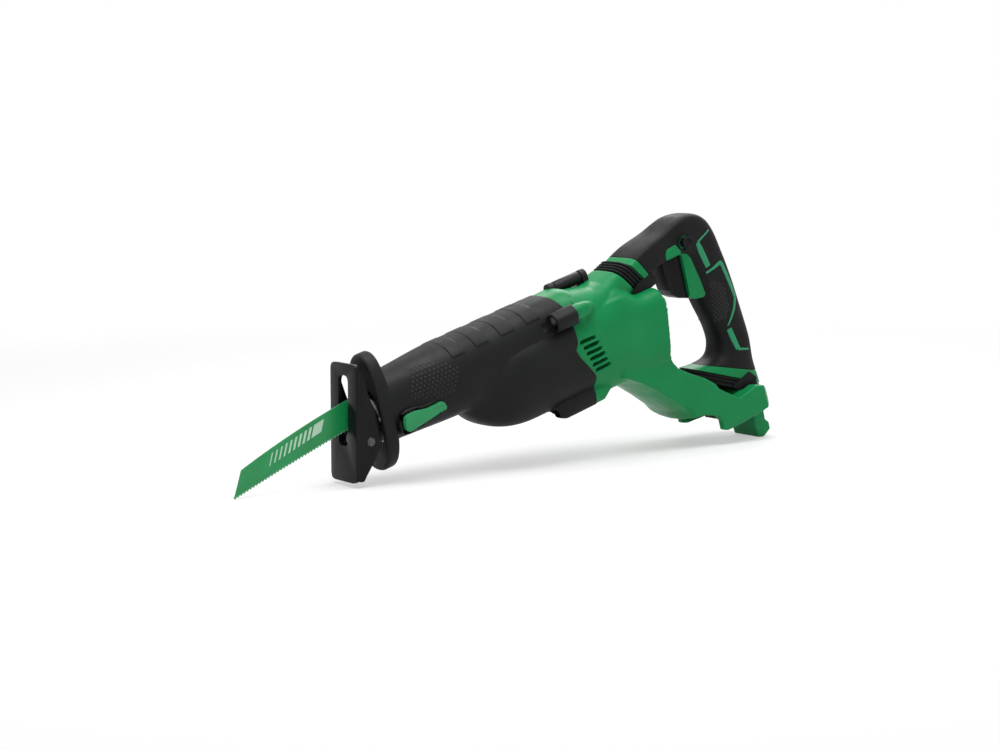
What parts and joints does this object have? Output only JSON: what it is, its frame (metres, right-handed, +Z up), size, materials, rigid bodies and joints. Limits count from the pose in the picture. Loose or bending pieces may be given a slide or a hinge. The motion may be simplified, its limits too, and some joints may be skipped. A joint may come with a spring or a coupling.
{
  "type": "reciprocating saw",
  "caption": "Cordless reciprocating saw with rubber front cover, pivoting shoe, slotted blade clamp, wobble drive, floating D handle, trigger, rafter hook and open battery base.",
  "frame": {"origin": "midway along the length and across the width, on the surface that the saw rests on", "axes": "+X towards the handle, +Z up; the saw rests on its blade tip and its rear foot, so the plunger slopes up to the rear by about 17 degrees"},
  "size_m": [0.5854, 0.0962, 0.2262],
  "materials": {
    "front_cover": "matte",
    "housing_left": "satin moulded",
    "housing_right": "satin moulded",
    "gear_case": "cast",
    "gear_case_cover": "cast",
    "guide_sleeve": "turned",
    "rear_bush": "turned",
    "wobble_front_bearing": "ground",
    "wobble_rear_bearing": "ground",
    "motor_front_bearing": "ground",
    "motor_rear_bearing": "ground",
    "stator_core": "ground",
    "stator_winding": "enamelled",
    "case_bolt_1": "ground",
    "case_bolt_2": "ground",
    "case_bolt_3": "ground",
    "case_bolt_4": "ground",
    "control_board": "potted board",
    "terminal_block": "satin moulded",
    "contact_blade_1": "bright",
    "contact_blade_2": "bright",
    "contact_blade_3": "bright",
    "hook_pin": "ground",
    "lever_pin": "ground",
    "handle_pivot_pin": "ground",
    "upper_bellows": "matte",
    "lower_bellows": "matte",
    "damper_spring": "ground",
    "rotor_shaft": "ground",
    "rotor_core": "ground",
    "cooling_fan": "satin moulded",
    "drive_pinion": "ground",
    "wobble_shaft": "ground",
    "drive_gear": "ground",
    "wobble_hub": "ground",
    "wobble_ring": "ground",
    "plunger": "ground",
    "blade_holder": "ground",
    "blade_pin": "ground",
    "clamp_spring": "ground",
    "saw_blade": "printed",
    "clamp_sleeve": "ground",
    "shoe_post": "ground",
    "shoe": "gloss black",
    "shoe_pin_left": "ground",
    "shoe_pin_right": "ground",
    "blade_lever": "satin moulded",
    "rafter_hook": "gloss black",
    "handle_left": "satin moulded",
    "handle_right": "satin moulded",
    "grip_left": "matte",
    "grip_right": "matte",
    "switch_unit": "satin moulded",
    "trigger_spring": "ground",
    "trigger": "satin moulded",
    "lock_button": "satin moulded"
  },
  "bodies": {
    "frame": {"front_cover": "front_cover", "housing_left": "housing_left", "housing_right": "housing_right", "gear_case": "gear_case", "gear_case_cover": "gear_case_cover", "guide_sleeve": "guide_sleeve", "rear_bush": "rear_bush", "wobble_front_bearing": "wobble_front_bearing", "wobble_rear_bearing": "wobble_rear_bearing", "motor_front_bearing": "motor_front_bearing", "motor_rear_bearing": "motor_rear_bearing", "stator_core": "stator_core", "stator_winding": "stator_winding", "case_bolt_1": "case_bolt_1", "case_bolt_2": "case_bolt_2", "case_bolt_3": "case_bolt_3", "case_bolt_4": "case_bolt_4", "control_board": "control_board", "terminal_block": "terminal_block", "contact_blade_1": "contact_blade_1", "contact_blade_2": "contact_blade_2", "contact_blade_3": "contact_blade_3", "hook_pin": "hook_pin", "lever_pin": "lever_pin", "handle_pivot_pin": "handle_pivot_pin", "upper_bellows": "upper_bellows", "lower_bellows": "lower_bellows", "damper_spring": "damper_spring"},
    "rotor": {"rotor_shaft": "rotor_shaft", "rotor_core": "rotor_core", "cooling_fan": "cooling_fan", "drive_pinion": "drive_pinion"},
    "wobble_shaft": {"wobble_shaft": "wobble_shaft", "drive_gear": "drive_gear", "wobble_hub": "wobble_hub"},
    "wobble_ring": {"wobble_ring": "wobble_ring"},
    "plunger": {"plunger": "plunger", "blade_holder": "blade_holder", "blade_pin": "blade_pin", "clamp_spring": "clamp_spring", "saw_blade": "saw_blade"},
    "clamp_sleeve": {"clamp_sleeve": "clamp_sleeve"},
    "shoe_post": {"shoe_post": "shoe_post"},
    "shoe": {"shoe": "shoe", "shoe_pin_left": "shoe_pin_left", "shoe_pin_right": "shoe_pin_right"},
    "blade_lever": {"blade_lever": "blade_lever"},
    "rafter_hook": {"rafter_hook": "rafter_hook"},
    "handle": {"handle_left": "handle_left", "handle_right": "handle_right", "grip_left": "grip_left", "grip_right": "grip_right", "switch_unit": "switch_unit", "trigger_spring": "trigger_spring"},
    "trigger": {"trigger": "trigger"},
    "lock_button": {"lock_button": "lock_button"}
  },
  "joints": [
    {"name": "plunger_stroke", "type": "slide", "parent": "frame", "child": "plunger", "axis": [0.9552, 0, 0.2959], "range_m": [-0.016, 0.016]},
    {"name": "wobble_ring_rock", "type": "hinge", "parent": "frame", "child": "wobble_ring", "pos_m": [-0.01846, 0, 0.06309], "axis": [0, 1, 0], "range_deg": [-22.5, 22.5]},
    {"name": "rotor_spin", "type": "hinge", "parent": "frame", "child": "rotor", "pos_m": [0.06821, 0, 0.10774], "axis": [0.9552, 0, 0.2959], "continuous": true},
    {"name": "wobble_shaft_spin", "type": "hinge", "parent": "frame", "child": "wobble_shaft", "pos_m": [-0.01846, 0, 0.06309], "axis": [0.9552, 0, 0.2959], "continuous": true},
    {"name": "clamp_sleeve_turn", "type": "hinge", "parent": "plunger", "child": "clamp_sleeve", "pos_m": [-0.16176, 0, 0.06267], "axis": [0.9552, 0, 0.2959], "range_deg": [0, 60]},
    {"name": "shoe_depth", "type": "slide", "parent": "frame", "child": "shoe_post", "axis": [-0.9552, 0, -0.2959], "range_m": [0, 0.03]},
    {"name": "shoe_swing", "type": "hinge", "parent": "shoe_post", "child": "shoe", "pos_m": [-0.17127, 0, 0.03931], "axis": [0, 1, 0], "range_deg": [-36, 3]},
    {"name": "lever_swing", "type": "hinge", "parent": "frame", "child": "blade_lever", "pos_m": [-0.1355, -0.0322, 0.05563], "axis": [0.2959, 0, -0.9552], "range_deg": [0, 45], "stiffness_Nm_per_rad": 0.02, "springref_deg": -11.46},
    {"name": "hook_swing", "type": "hinge", "parent": "frame", "child": "rafter_hook", "pos_m": [0.04253, 0.01, 0.15684], "axis": [0.9552, 0, 0.2959], "range_deg": [0, 90]},
    {"name": "handle_float", "type": "hinge", "parent": "frame", "child": "handle", "pos_m": [0.22271, 0, 0.04829], "axis": [0, 1, 0], "range_deg": [-1.2, 1.2], "stiffness_Nm_per_rad": 60, "deforming": ["upper_bellows", "lower_bellows", "damper_spring"]},
    {"name": "trigger_pull", "type": "slide", "parent": "handle", "child": "trigger", "axis": [0.9552, 0, 0.2959], "range_m": [0, 0.007], "stiffness_N_per_m": 600, "springref_m": -0.005, "deforming": ["trigger_spring"]},
    {"name": "lock_push", "type": "slide", "parent": "handle", "child": "lock_button", "axis": [0, 1, 0], "range_m": [0, 0.004]}
  ],
  "couplings": [
    {"joint": "wobble_ring_rock", "follows": "plunger_stroke", "rad_per_m": 24.1},
    {"joint": "wobble_shaft_spin", "follows": "rotor_spin", "ratio": -0.25},
    {"joint": "clamp_sleeve_turn", "follows": "lever_swing", "ratio": 1.3}
  ]
}
